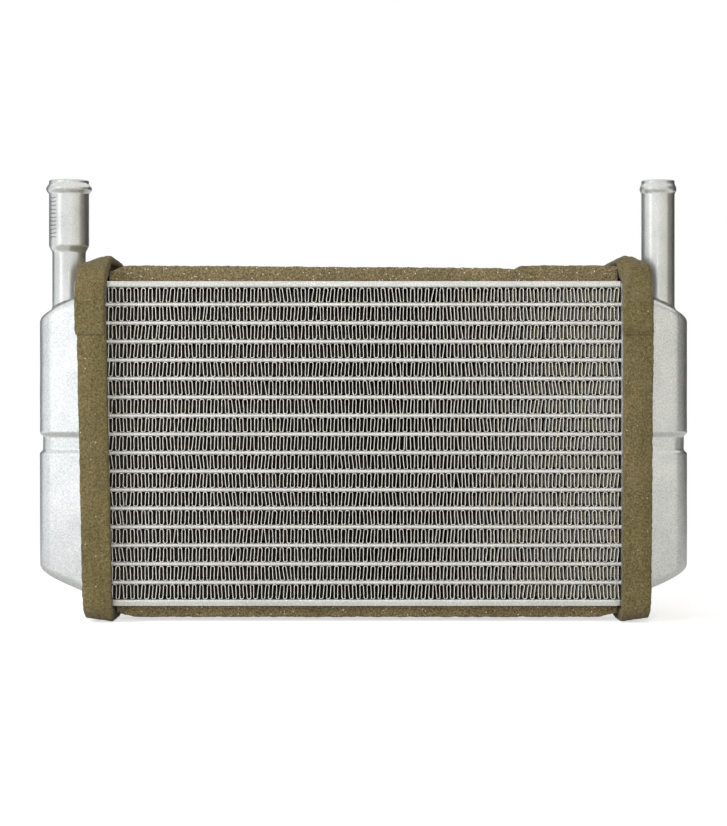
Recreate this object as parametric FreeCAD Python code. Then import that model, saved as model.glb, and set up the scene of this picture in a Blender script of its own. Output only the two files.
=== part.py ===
import FreeCAD, Part
import math
import os

# Heater core: sixteen flat tubes with folded fins between them, a header and
# a pressed tank at each end, an inlet and an outlet pipe, two side plates and
# the foam that seals it in its case. All sizes are in millimetres.
# X runs from the inlet tank to the outlet tank, the front face looks along -Y
# and Z is up. The origin is midway between the tanks, on the surface that the
# two foam straps stand on.

# Core
FLOOR_SPAN = 241.6      # between the two header floors
CORE_DEPTH = 40.0       # front to back, of tubes and fins
TUBE_COUNT = 16
TUBE_HEIGHT = 1.7
TUBE_WALL = 0.3
TUBE_WEB = 0.6          # folded web in the middle of each tube
TUBE_REACH = 1.5        # how far a tube stands into the pan
FIN_HEIGHT = 7.0
FIN_WALL_PITCH = 8.0    # from one sloping wall of a fin to the next
FIN_SHEET = 0.6         # thickness of the folded sheet, measured upright
FIN_END_GAP = 0.8

# Side plates
PLATE_SHEET = 1.2
PLATE_LIP = 3.0         # height of the outward lips, sheet included
PLATE_BEYOND_CORE = 0.3     # at the front and at the back
PLATE_END_GAP = 0.3
PLATE_BEND = 1.0        # outer radius of the folds

# Header pans
HEADER_SHEET = 1.5
PAN_DRAW = 5.7          # from the floor's core side to the outside of the rim
PAN_RIM = 1.15          # how far the rim stands out round the pan
FLANGE_CORNER = 3.5

# Tanks
FLANGE_BEYOND_CORE = 3.15   # at the front and at the back
FLANGE_SHEET = 1.5
FLANGE_BEYOND_PLATE = 1.1   # at the top and at the bottom
TANK_WALL = 1.5
CROWN_RADIUS = 11.0
CROWN_AXIS = 15.3       # from the flange to the axis of the crown
WALL_DRAFT = 20.0       # degrees
END_DRAFT = 21.0        # degrees
END_MARGIN = 5.6        # flange beyond the end walls
CORNER_BLEND = 5.5      # outer radius of the dome's four corners
CROWN_BLEND = 6.5       # outer radius from each end wall to the crown
GROOVE_HEIGHT = 9.6
GROOVE_DEPTH = 1.5
GROOVE_SLOPE = 1.8      # height of the sloping side of the groove

# Pipes
PIPE_OFFSET = 12.5      # axis, outward from the flange
PIPE_RADIUS = 7.94      # five-eighths inch tube
PIPE_WALL = 1.05
PIPE_RISE = 48.0        # top of the pipes above the flange
PIPE_INSERT = 7.0       # below the end wall, on the axis
BRAZE_GAP = 0.05
BARREL_RADIUS = 9.525   # the inlet is swelled to three quarters of an inch
BARREL_LENGTH = 30.7
BARREL_TAPER = 3.8
BEAD_DROP = 4.1         # crest of the hose bead below the pipe's end
BEAD_HEIGHT = 4.4
BEAD_CREST = 1.4        # height of the crest, between its two bevels
INLET_BEAD = 1.4        # how far the bead stands out
OUTLET_BEAD = 0.85

# Foam
FOAM_GAP = 0.3          # between the foam and what it lies on
STRAP_UNDER = 6.5       # foam and gap under the flange
STRAP_WIDTH = 13.6
STRAP_FRONT = 5.2
STRAP_BACK = 7.35
STRAP_CURL = 4.1        # thickness where the back end turns over the top corner
CURL_REACH = 6.0        # how far it turns in over the flange
CURL_RADIUS = 9.0       # round the top corner at the back
STRAP_FRONT_DROP = 9.0  # front end below the top of the flange
FRONT_CORNER = 12.5
BACK_CORNER = 20.0
LEFT_TOP_SHIFT = -0.4   # middle of each strap, outward from the flange
LEFT_FOOT_SHIFT = -4.0
RIGHT_TOP_SHIFT = 0.6
RIGHT_FOOT_SHIFT = -0.8
LAP_THICKNESS = 5.2
LAP_FRONT = 3.0         # the lap's flattened front end
LAP_FRONT_DROP = 24.5
LAP_BACK_DROP = 4.2
LAP_EDGE = 1.0          # thickness left along the lap's sides
LAP_LOBE = 2.4          # how far the back end stands out from the strap
LAP_BEVEL = 1.2
LAP_CROWN = 0.6         # the top's fall to the strip's back edge
FRONT_FALL = 1.8        # and to its front edge
BACK_FALL = 4.5         # from there to the shoulders
LAP_WIDTH = 14.0
LAP_SLANT = 5.0         # the lap's back end lies further in than its front
LEFT_RIDGE = -6.8       # top of each lap, outward from the flange
RIGHT_RIDGE = -2.7
STRIP_WIDTH = 24.2
TOP_STRIP = 9.5
TOP_STRIP_THIN = 8.2    # the long strip gets thinner towards the joint
BOTTOM_STRIP = 7.55
SHORT_STRIP = 46.7      # length of the short top strip
STRIP_JOINT_GAP = 0.5
STRIP_CURL = 9.0        # length of the bottom strip's pinched ends
STRIP_PINCH = 2.2

# Worked out from the sizes above
FLANGE_DEPTH = CORE_DEPTH + 2 * FLANGE_BEYOND_CORE
PLATE_DEPTH = CORE_DEPTH + 2 * PLATE_BEYOND_CORE
FLANGE_BOTTOM = STRAP_UNDER
PLATE_BOTTOM = FLANGE_BOTTOM + FLANGE_BEYOND_PLATE
STACK_BOTTOM = PLATE_BOTTOM + PLATE_LIP
TUBE_PITCH = FIN_HEIGHT + TUBE_HEIGHT
STACK_TOP = STACK_BOTTOM + TUBE_COUNT * TUBE_PITCH + FIN_HEIGHT
PLATE_TOP = STACK_TOP + PLATE_LIP
FLANGE_TOP = PLATE_TOP + FLANGE_BEYOND_PLATE
FLANGE_MIDDLE = (FLANGE_BOTTOM + FLANGE_TOP) / 2
FLOOR_X = FLOOR_SPAN / 2
PAN_X = FLOOR_X + PAN_DRAW
FLANGE_X = PAN_X + FLANGE_SHEET
PIPE_X = FLANGE_X + PIPE_OFFSET
PIPE_TOP = FLANGE_TOP + PIPE_RISE
TAIL = -2 * FLANGE_SHEET    # the domes are drawn from inside the flange
ARC_EASE = 1 - math.sqrt(0.5)   # how far a unit quarter arc's middle lies in from its corner
LEFT_STRAP = (FLANGE_X + LEFT_TOP_SHIFT, FLANGE_X + LEFT_FOOT_SHIFT)
RIGHT_STRAP = (FLANGE_X + RIGHT_TOP_SHIFT, FLANGE_X + RIGHT_FOOT_SHIFT)
LAP_SEAT = STACK_TOP + PLATE_SHEET + 2 * FOAM_GAP + TOP_STRIP


def point(x, y, z):
    return FreeCAD.Vector(x, y, z)


def block(x0, x1, y0, y1, z0, z1):
    return Part.makeBox(x1 - x0, y1 - y0, z1 - z0, point(x0, y0, z0))


def cylinder_up(x, radius, z0, z1):
    return Part.makeCylinder(radius, z1 - z0, point(x, 0, z0), point(0, 0, 1))


def outline(place, start, *steps):
    """A closed wire. A step is (a, b), a line's end, or (a, b, c, d), an arc through (a, b) to (c, d)."""
    edges = []
    here = place(*start)
    for step in steps:
        end = place(*step[-2:])
        if len(step) == 4:
            edges.append(Part.Arc(here, place(*step[:2]), end).toShape())
        else:
            edges.append(Part.LineSegment(here, end).toShape())
        here = end
    if here.distanceToPoint(place(*start)) > 1e-6:
        edges.append(Part.LineSegment(here, place(*start)).toShape())
    return Part.Wire(edges)


def across(x):
    """Places an outline's points (y, z) in the plane at x."""
    return lambda y, z: point(x, y, z)


def prism(wire, direction):
    return Part.Face(wire).extrude(direction)


def rounded_block(x0, x1, depth, z0, z1, radius):
    """A block along X with rounded corners, centred on the middle plane."""
    solid = block(x0, x1, -depth / 2, depth / 2, z0, z1)
    corners = [e for e in solid.Edges if abs(e.Length - abs(x1 - x0)) < 1e-6 and is_along_x(e)]
    return solid.makeFillet(radius, corners)


def is_along_x(edge):
    first, last = edge.Vertexes[0].Point, edge.Vertexes[-1].Point
    return abs(first.y - last.y) < 1e-6 and abs(first.z - last.z) < 1e-6


def turned(shape):
    """The same piece at the other end of the core."""
    copy = shape.copy()
    copy.rotate(point(0, 0, 0), point(0, 0, 1), 180)
    return copy


def tube_z(index):
    """Underside of a tube, counted from the bottom."""
    return STACK_BOTTOM + FIN_HEIGHT + index * TUBE_PITCH


def flat_section(x, z):
    """The outside of a flat tube in the plane at x. Each nose is a short upright and two bevels."""
    half = CORE_DEPTH / 2
    bevel = TUBE_HEIGHT * 0.35
    top = z + TUBE_HEIGHT
    return outline(
        across(x), (bevel - half, z), (half - bevel, z), (half, z + bevel), (half, top - bevel),
        (half - bevel, top), (bevel - half, top), (-half, top - bevel), (-half, z + bevel))


def flat_bar(length, z):
    return prism(flat_section(-length / 2, z), point(length, 0, 0))


def tube(index):
    """A flat tube whose passage is split by the web of its folded sheet."""
    length = FLOOR_SPAN + 2 * (HEADER_SHEET + TUBE_REACH)
    z = tube_z(index)
    solid = flat_bar(length, z)
    wide = CORE_DEPTH / 2 - TUBE_HEIGHT / 2
    for side in (-1, 1):
        near, far = sorted((side * TUBE_WEB / 2, side * wide))
        passage = block(-length, length, near, far, z + TUBE_WALL, z + TUBE_HEIGHT - TUBE_WALL)
        solid = solid.cut(passage)
    return solid


def fin(index):
    """One folded sheet that runs up and down between two tubes, or a tube and a side plate."""
    bottom = STACK_BOTTOM + index * TUBE_PITCH
    length = FLOOR_SPAN - 2 * FIN_END_GAP
    walls = 2 * round(length / FIN_WALL_PITCH / 2)
    run = length / walls
    upper = []
    lower = []
    for fold in range(walls + 1):
        x = -length / 2 + fold * run
        rise = FIN_HEIGHT - FIN_SHEET if (fold + index) % 2 else 0
        lower.append(point(x, -CORE_DEPTH / 2, bottom + rise))
        upper.append(point(x, -CORE_DEPTH / 2, bottom + rise + FIN_SHEET))
    wire = Part.makePolygon(lower + upper[::-1] + lower[:1])
    return prism(wire, point(0, CORE_DEPTH, 0))


def side_plate(is_top):
    """A shallow channel that lies on the last fin, with its lips turned away from the core."""
    web = STACK_TOP if is_top else STACK_BOTTOM
    out = 1 if is_top else -1
    half = PLATE_DEPTH / 2
    reach = FLOOR_X - PLATE_END_GAP
    bend = PLATE_BEND * math.sqrt(0.5)
    middle = (half - PLATE_BEND, web + out * PLATE_BEND)
    wire = outline(
        across(-reach), (-half + PLATE_BEND, web), (half - PLATE_BEND, web),
        (middle[0] + bend, middle[1] - out * bend, half, web + out * PLATE_BEND),
        (half, web + out * PLATE_LIP), (half - PLATE_SHEET, web + out * PLATE_LIP),
        (half - PLATE_SHEET, web + out * PLATE_SHEET), (-half + PLATE_SHEET, web + out * PLATE_SHEET),
        (-half + PLATE_SHEET, web + out * PLATE_LIP), (-half, web + out * PLATE_LIP),
        (-half, web + out * PLATE_BEND),
        (-middle[0] - bend, middle[1] - out * bend, -half + PLATE_BEND, web))
    return prism(wire, point(2 * reach, 0, 0))


def header():
    """The right-hand header: a drawn pan with a slot for each tube and a rim for the tank."""
    depth = FLANGE_DEPTH - 2 * PAN_RIM
    low = FLANGE_BOTTOM + PAN_RIM
    high = FLANGE_TOP - PAN_RIM
    pan = rounded_block(FLOOR_X, PAN_X, depth, low, high, FLANGE_CORNER)
    rim = rounded_block(PAN_X - HEADER_SHEET, PAN_X, FLANGE_DEPTH, FLANGE_BOTTOM, FLANGE_TOP, FLANGE_CORNER)
    inside = rounded_block(
        FLOOR_X + HEADER_SHEET, PAN_X + HEADER_SHEET, depth - 2 * HEADER_SHEET,
        low + HEADER_SHEET, high - HEADER_SHEET, FLANGE_CORNER - HEADER_SHEET)
    slots = [flat_bar(2 * PAN_X, tube_z(index)) for index in range(TUBE_COUNT)]
    return pan.fuse(rim).cut(inside).cut(slots).removeSplitter()


def wall_half(out, inset):
    """Half the dome's depth at a distance out from the flange, moved in by inset."""
    draft = math.radians(WALL_DRAFT)
    return (CROWN_RADIUS - inset) / math.cos(draft) + (CROWN_AXIS - out) * math.tan(draft)


def tank_section(z, inset):
    """The dome's section at a height: tapered walls that run into a round crown."""
    draft = math.radians(WALL_DRAFT)
    radius = CROWN_RADIUS - inset
    root = wall_half(TAIL, inset)
    along = CROWN_AXIS + radius * math.sin(draft)
    half = radius * math.cos(draft)
    return outline(
        lambda out, y: point(FLANGE_X + out, y, z), (TAIL, -root), (along, -half),
        (CROWN_AXIS + radius, 0, along, half), (TAIL, root))


def grooved_body(inset):
    """The dome's section over the whole height, with the pressed groove round its middle."""
    groove = GROOVE_HEIGHT / 2
    floor = groove - GROOVE_SLOPE
    pressed = inset + GROOVE_DEPTH
    levels = [(-groove, inset), (-floor, pressed), (floor, pressed), (groove, inset)]
    sections = [tank_section(FLANGE_BOTTOM, inset)]
    sections += [tank_section(FLANGE_MIDDLE + rise, depth) for rise, depth in levels]
    sections += [tank_section(FLANGE_TOP, inset)]
    parts = [Part.makeLoft(list(pair), True, True) for pair in zip(sections[:-1], sections[1:])]
    return parts[0].fuse(parts[1:]).removeSplitter()


def end_z(side, out, inset):
    """Height of an end wall at a distance out from the flange. Side is 1 at the top, -1 below."""
    draft = math.radians(END_DRAFT)
    half = (FLANGE_TOP - FLANGE_BOTTOM) / 2 - END_MARGIN - inset / math.cos(draft)
    return FLANGE_MIDDLE + side * (half - out * math.tan(draft))


def crown_profile(inset):
    """The dome seen from the front: sloping ends that run through an arc into the straight crown."""
    draft = math.radians(END_DRAFT)
    radius = CROWN_BLEND - inset
    crown = CROWN_AXIS + CROWN_RADIUS - inset
    cut = radius * math.tan((math.pi / 2 - draft) / 2)
    bow = (math.pi / 2 - draft) / 2
    ends = []
    for side in (-1, 1):
        corner = end_z(side, crown, inset)
        on_crown = (crown, corner - side * cut)
        on_end = (crown - cut * math.cos(draft), corner + side * cut * math.sin(draft))
        middle = (crown - radius + radius * math.cos(bow), on_crown[1] + side * radius * math.sin(bow))
        ends.append((on_crown, middle, on_end))
    low, high = ends
    wire = outline(
        lambda out, z: point(FLANGE_X + out, -FLANGE_DEPTH, z), (TAIL, end_z(-1, TAIL, inset)),
        low[2], (*low[1], *low[0]), high[0], (*high[1], *high[2]), (TAIL, end_z(1, TAIL, inset)))
    return prism(wire, point(0, 2 * FLANGE_DEPTH, 0))


def hipped_block(inset):
    """Four sloping walls with rounded corners, which the crown is cut from."""
    tip = CROWN_AXIS + CROWN_RADIUS + TANK_WALL
    plan = outline(
        lambda out, y: point(FLANGE_X + out, y, 0),
        (TAIL, -wall_half(TAIL, inset)), (tip, -wall_half(tip, inset)),
        (tip, wall_half(tip, inset)), (TAIL, wall_half(TAIL, inset)))
    front = outline(
        lambda out, z: point(FLANGE_X + out, -FLANGE_DEPTH, z),
        (TAIL, end_z(-1, TAIL, inset)), (tip, end_z(-1, tip, inset)),
        (tip, end_z(1, tip, inset)), (TAIL, end_z(1, TAIL, inset)))
    solid = prism(plan, point(0, 0, PIPE_TOP)).common(prism(front, point(0, 2 * FLANGE_DEPTH, 0)))
    return solid.makeFillet(CORNER_BLEND - inset, [e for e in solid.Edges if is_slanted(e)])


def is_slanted(edge):
    step = edge.Vertexes[-1].Point - edge.Vertexes[0].Point
    return min(abs(step.x), abs(step.y), abs(step.z)) > 1e-3


def dome(inset):
    """The closed dome, moved in by inset."""
    return grooved_body(inset).common(crown_profile(inset)).common(hipped_block(inset))


def tank():
    """The right-hand tank: a flange and a hollow dome pressed from one sheet, with the pipe's hole."""
    flange = rounded_block(PAN_X, FLANGE_X, FLANGE_DEPTH, FLANGE_BOTTOM, FLANGE_TOP, FLANGE_CORNER)
    outside = dome(0).cut(block(0, PAN_X, -FLANGE_DEPTH, FLANGE_DEPTH, 0, PIPE_TOP))
    hole = cylinder_up(PIPE_X, PIPE_RADIUS + BRAZE_GAP, FLANGE_MIDDLE, PIPE_TOP)
    return flange.fuse(outside).cut(dome(TANK_WALL)).cut(hole).removeSplitter()


def pipe_end():
    """Height of a pipe's lower end, inside the tank."""
    wall = FLANGE_TOP - END_MARGIN - PIPE_OFFSET * math.tan(math.radians(END_DRAFT))
    return wall - PIPE_INSERT


def pipe(x, top_radius, bead):
    """A pipe with a rolled hose bead. A wider top runs down through a taper to the tube."""
    swell = top_radius - PIPE_RADIUS
    crest = PIPE_TOP - BEAD_DROP
    half = BEAD_HEIGHT / 2
    low = pipe_end()
    neck = PIPE_TOP - BARREL_LENGTH
    flat = BEAD_CREST / 2
    steps = [
        (top_radius, PIPE_TOP), (top_radius, crest + half),
        (top_radius + bead, crest + flat), (top_radius + bead, crest - flat), (top_radius, crest - half)]
    if swell > 0:
        steps += [(top_radius, neck), (PIPE_RADIUS, neck - BARREL_TAPER)]
    steps += [(PIPE_RADIUS, low), (PIPE_RADIUS - PIPE_WALL, low)]
    if swell > 0:
        steps += [(PIPE_RADIUS - PIPE_WALL, neck - BARREL_TAPER), (top_radius - PIPE_WALL, neck)]
    wire = outline(lambda r, z: point(x + r, 0, z), (top_radius - PIPE_WALL, PIPE_TOP), *steps)
    return Part.Face(wire).revolve(point(x, 0, 0), point(0, 0, 1), 360)


def slanted_band(side, top, bottom):
    """The slab, leaning in towards its foot, from which a strap's width is cut."""
    half = STRAP_WIDTH / 2
    tall = FLANGE_TOP + STRAP_UNDER
    wire = outline(
        lambda x, z: point(side * x, -FLANGE_DEPTH, z),
        (bottom - half, 0), (bottom + half, 0), (top + half, tall), (top - half, tall))
    return prism(wire, point(0, 2 * FLANGE_DEPTH, 0))


def strap_section(x):
    """The foam round back, bottom and front of the joint. Its back end turns over the top corner."""
    seat = FLANGE_DEPTH / 2 + FOAM_GAP
    high = FLANGE_TOP + FOAM_GAP
    low = FLANGE_BOTTOM - FOAM_GAP
    turn = FLANGE_CORNER + FOAM_GAP
    ease = turn * ARC_EASE
    front = seat + STRAP_FRONT
    back = seat + STRAP_BACK
    inner = seat - CURL_REACH
    crest = high + STRAP_CURL
    front_end = FLANGE_TOP - STRAP_FRONT_DROP
    front_ease = FRONT_CORNER * ARC_EASE
    back_ease = BACK_CORNER * ARC_EASE
    curl_ease = CURL_RADIUS * ARC_EASE
    return outline(
        across(x), (inner, high), (seat - turn, high), (seat - ease, high - ease, seat, high - turn),
        (seat, low + turn), (seat - ease, low + ease, seat - turn, low), (turn - seat, low),
        (ease - seat, low + ease, -seat, low + turn), (-seat, front_end), (-front, front_end),
        (-front, FRONT_CORNER), (front_ease - front, front_ease, FRONT_CORNER - front, 0),
        (back - BACK_CORNER, 0), (back - back_ease, back_ease, back, BACK_CORNER),
        (back, crest - CURL_RADIUS),
        (back - curl_ease, crest - curl_ease, back - CURL_RADIUS, crest), (inner + 1, crest))


def strap(side, top, bottom):
    """Foam round the joint of header and tank, wide enough at first for the slanted band."""
    near = min(top, bottom) - STRAP_WIDTH
    far = max(top, bottom) + STRAP_WIDTH
    solid = prism(strap_section(side * near), point(side * (far - near), 0, 0))
    return solid.common(slanted_band(side, top, bottom))


def lap_section(x, middle):
    """The foam that laps over a strap's ends: up the front, over the top to a lobe at the back.
    The middle is what its underside passes between the front corner and the strap's back end."""
    seat = FLANGE_DEPTH / 2 + FOAM_GAP
    high = FLANGE_TOP + FOAM_GAP
    turn = FLANGE_CORNER + FOAM_GAP
    ease = turn * ARC_EASE
    front = seat + STRAP_FRONT + FOAM_GAP
    back = seat + STRAP_BACK
    crest = high + STRAP_CURL
    strap_end = FLANGE_TOP - STRAP_FRONT_DROP + FOAM_GAP
    curl = CURL_RADIUS + FOAM_GAP
    bow = curl * math.sqrt(0.5)
    top = LAP_SEAT + LAP_THICKNESS
    end_front = FLANGE_TOP - LAP_FRONT_DROP
    end_back = FLANGE_TOP - LAP_BACK_DROP
    hub = (back - CURL_RADIUS, crest - CURL_RADIUS)
    lobe = back + LAP_LOBE
    inside = [
        (-front, strap_end), (-seat, strap_end + LAP_BEVEL), (-seat, high - turn),
        (ease - seat, high - ease, turn - seat, high), *middle, (hub[0], crest + FOAM_GAP),
        (hub[0] + bow, hub[1] + bow, back + FOAM_GAP, hub[1]), (back + FOAM_GAP, end_back)]
    outside = [
        (lobe, FLANGE_TOP - LAP_BEVEL), (lobe - LAP_BEVEL, high + STRAP_CURL),
        (back - LAP_LOBE, top - BACK_FALL),
        (STRIP_WIDTH / 2, top - LAP_CROWN), (0, top), (-STRIP_WIDTH / 2, top - FRONT_FALL),
        (-seat, top - FRONT_FALL - BACK_FALL), (-seat - STRAP_FRONT, high - LAP_BEVEL),
        (-front - LAP_FRONT, strap_end - LAP_BEVEL), (-front - LAP_FRONT, end_front + LAP_FRONT)]
    return outline(across(x), (-front, end_front), *inside, *outside)


def lap(side, top, ridge):
    """The lap runs askew. It falls away from a ridge, steeply to the core and gently to the tank."""
    half = LAP_WIDTH / 2
    edge = top + half
    low_seat = FLANGE_TOP + STRAP_CURL + 3 * FOAM_GAP
    flat = STRIP_WIDTH / 2 + FOAM_GAP
    over_strip = [(-flat, LAP_SEAT), (flat, LAP_SEAT)]
    over_flange = [(FLANGE_DEPTH / 2 - CURL_REACH - 1, low_seat)]
    level = prism(lap_section(side * (FLOOR_X - LAP_WIDTH), over_strip), point(side * LAP_WIDTH, 0, 0))
    beside = prism(lap_section(side * FLOOR_X, over_flange), point(side * LAP_WIDTH * 2, 0, 0))
    deep = FLANGE_DEPTH * 0.7
    middle = min(top, PIPE_X - PIPE_RADIUS - FOAM_GAP - half + LAP_SLANT / 2)
    inner = middle - half - LAP_SLANT
    above = outline(
        lambda x, z: point(side * x, -FLANGE_DEPTH, z),
        (inner, LAP_SEAT + LAP_EDGE), (FLANGE_X + ridge, LAP_SEAT + LAP_THICKNESS),
        (edge, low_seat + LAP_EDGE), (edge + LAP_WIDTH * 2, low_seat),
        (edge + LAP_WIDTH * 2, PIPE_TOP), (inner, PIPE_TOP))
    solid = level.fuse(beside).cut(prism(above, point(0, 2 * FLANGE_DEPTH, 0)))
    plan = outline(
        lambda x, y: point(side * x, y, FLANGE_TOP - 2 * LAP_FRONT_DROP),
        (middle - half, -deep), (middle + half, -deep),
        (middle + half - LAP_SLANT, deep), (middle - half - LAP_SLANT, deep))
    return solid.common(prism(plan, point(0, 0, PIPE_TOP))).removeSplitter()


def strip(x0, x1, z, out, heights, pinch):
    """A foam strip in a side plate's channel. Its free side runs from one height to the other."""
    start, end = heights
    wire = outline(
        lambda x, rise: point(x, -STRIP_WIDTH / 2, z + out * rise),
        (x0, 0), (x1, 0), (x1, end - pinch), (x1 - STRIP_CURL, end),
        (x0 + STRIP_CURL, start), (x0, start - pinch))
    return prism(wire, point(0, STRIP_WIDTH, 0))


def top_strips():
    seat = STACK_TOP + PLATE_SHEET + FOAM_GAP
    reach = FLOOR_X - PLATE_END_GAP - FOAM_GAP
    joint = reach - SHORT_STRIP
    small = STRIP_PINCH / 4
    long_strip = strip(-reach, joint - STRIP_JOINT_GAP, seat, 1, (TOP_STRIP, TOP_STRIP_THIN), small)
    short_strip = strip(joint, reach, seat, 1, (TOP_STRIP, TOP_STRIP), small)
    return long_strip, short_strip


def bottom_strip():
    seat = STACK_BOTTOM - PLATE_SHEET - FOAM_GAP
    left = STRAP_WIDTH / 2 + FOAM_GAP - LEFT_STRAP[1]
    right = RIGHT_STRAP[1] - STRAP_WIDTH / 2 - FOAM_GAP
    return strip(left, right, seat, -1, (BOTTOM_STRIP, BOTTOM_STRIP), STRIP_PINCH)


def build():
    parts = {}
    for index in range(TUBE_COUNT):
        parts[f"tube_{index + 1:02d}"] = tube(index)
    for index in range(TUBE_COUNT + 1):
        parts[f"fin_{index + 1:02d}"] = fin(index)
    parts["side_plate_top"] = side_plate(True)
    parts["side_plate_bottom"] = side_plate(False)
    parts["header_right"] = header()
    parts["header_left"] = turned(parts["header_right"])
    parts["tank_right"] = tank()
    parts["tank_left"] = turned(parts["tank_right"])
    parts["inlet_pipe"] = pipe(-PIPE_X, BARREL_RADIUS, INLET_BEAD)
    parts["outlet_pipe"] = pipe(PIPE_X, PIPE_RADIUS, OUTLET_BEAD)
    parts["strap_left"] = strap(-1, *LEFT_STRAP)
    parts["strap_right"] = strap(1, *RIGHT_STRAP)
    parts["strap_left_lap"] = lap(-1, LEFT_STRAP[0], LEFT_RIDGE)
    parts["strap_right_lap"] = lap(1, RIGHT_STRAP[0], RIGHT_RIDGE)
    parts["top_foam_long"], parts["top_foam_short"] = top_strips()
    parts["bottom_foam"] = bottom_strip()
    return parts


def main():
    os.makedirs("parts", exist_ok=True)
    for name, shape in build().items():
        shape.exportStep(f"parts/{name}.step")
        print(f"{name}: {len(shape.Solids)} solid, {shape.Volume:.0f} mm3, valid {shape.isValid()}")


main()
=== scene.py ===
import math
import bmesh
import bpy
import numpy as np
from mathutils import Matrix, Vector, noise


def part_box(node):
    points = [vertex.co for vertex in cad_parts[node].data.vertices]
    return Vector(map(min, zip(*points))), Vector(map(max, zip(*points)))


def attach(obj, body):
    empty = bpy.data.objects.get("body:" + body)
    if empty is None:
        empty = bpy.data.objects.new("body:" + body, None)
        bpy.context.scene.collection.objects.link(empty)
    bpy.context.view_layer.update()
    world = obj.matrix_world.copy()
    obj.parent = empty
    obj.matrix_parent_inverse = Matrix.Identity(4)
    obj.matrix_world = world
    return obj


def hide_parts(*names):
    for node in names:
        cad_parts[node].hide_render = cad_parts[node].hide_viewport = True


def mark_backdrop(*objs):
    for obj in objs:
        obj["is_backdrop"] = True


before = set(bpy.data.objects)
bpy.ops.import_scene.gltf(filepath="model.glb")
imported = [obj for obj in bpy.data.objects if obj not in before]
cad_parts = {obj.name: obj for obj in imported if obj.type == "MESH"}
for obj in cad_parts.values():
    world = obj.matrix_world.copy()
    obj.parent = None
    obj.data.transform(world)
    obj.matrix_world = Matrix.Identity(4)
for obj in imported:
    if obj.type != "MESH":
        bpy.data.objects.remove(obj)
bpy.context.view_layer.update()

mm = 0.001
print("frame loaded:", len(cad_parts), "nodes")


def srgb(text):
    channels = [int(text[i:i + 2], 16) / 255 for i in (1, 3, 5)]
    return [c / 12.92 if c <= 0.04045 else ((c + 0.055) / 1.055) ** 2.4 for c in channels] + [1]


def addNode(tree, kind, inputs=(), **settings):
    node = tree.nodes.new(kind)
    for key, value in settings.items():
        setattr(node, key, value)
    for socket, value in dict(inputs).items():
        if isinstance(value, bpy.types.Node):
            value = value.outputs[0]
        if isinstance(value, bpy.types.NodeSocket):
            tree.links.new(value, node.inputs[socket])
        else:
            node.inputs[socket].default_value = value
    return node


def smoothStep(low, high, x):
    t = np.clip((x - low) / (high - low), 0, 1)
    return t * t * (3 - 2 * t)


def meshPiece(name, verts, faces, material, smooth=True):
    mesh = bpy.data.meshes.new(name)
    mesh.from_pydata([tuple(v) for v in verts], [], faces)
    mesh.validate()
    mesh.materials.append(material)
    for face in mesh.polygons:
        face.use_smooth = smooth
    piece = bpy.data.objects.new(name, mesh)
    bpy.context.scene.collection.objects.link(piece)
    return piece


def bakeModifiers(piece):
    graph = bpy.context.evaluated_depsgraph_get()
    mesh = bpy.data.meshes.new_from_object(piece.evaluated_get(graph))
    piece.modifiers.clear()
    piece.data = mesh
    mesh.name = piece.name


def finish(piece, slot, *nodes):
    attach(piece, "root")
    if nodes:
        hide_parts(*nodes)
    return piece


def newMaterial(name, **values):
    material = bpy.data.materials.new(name)
    material.use_nodes = True
    tree = material.node_tree
    shader = tree.nodes["Principled BSDF"]
    for socket, value in values.items():
        shader.inputs[socket.replace("_", " ")].default_value = value
    return material, tree, shader


def scatteredSpots(tree, place, spacing, size, share, spread):
    # round spots in a share of a Voronoi pattern's cells: spacing in millimetres, size a part of a cell
    cells = addNode(tree, "ShaderNodeTexVoronoi", {"Vector": place, "Scale": 1000 / spacing})
    near = addNode(tree, "ShaderNodeMapRange", {
        "Value": cells.outputs["Distance"], "From Min": size * 0.5, "From Max": size,
        "To Min": 1.0, "To Max": 0.0})
    picked = addNode(tree, "ShaderNodeMapRange", {
        "Value": addNode(tree, "ShaderNodeSeparateColor", {0: cells.outputs["Color"]}),
        "From Min": share, "From Max": share + spread, "To Min": 1.0, "To Max": 0.0})
    return addNode(tree, "ShaderNodeMath", {0: near, 1: picked}, operation="MULTIPLY")

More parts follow.
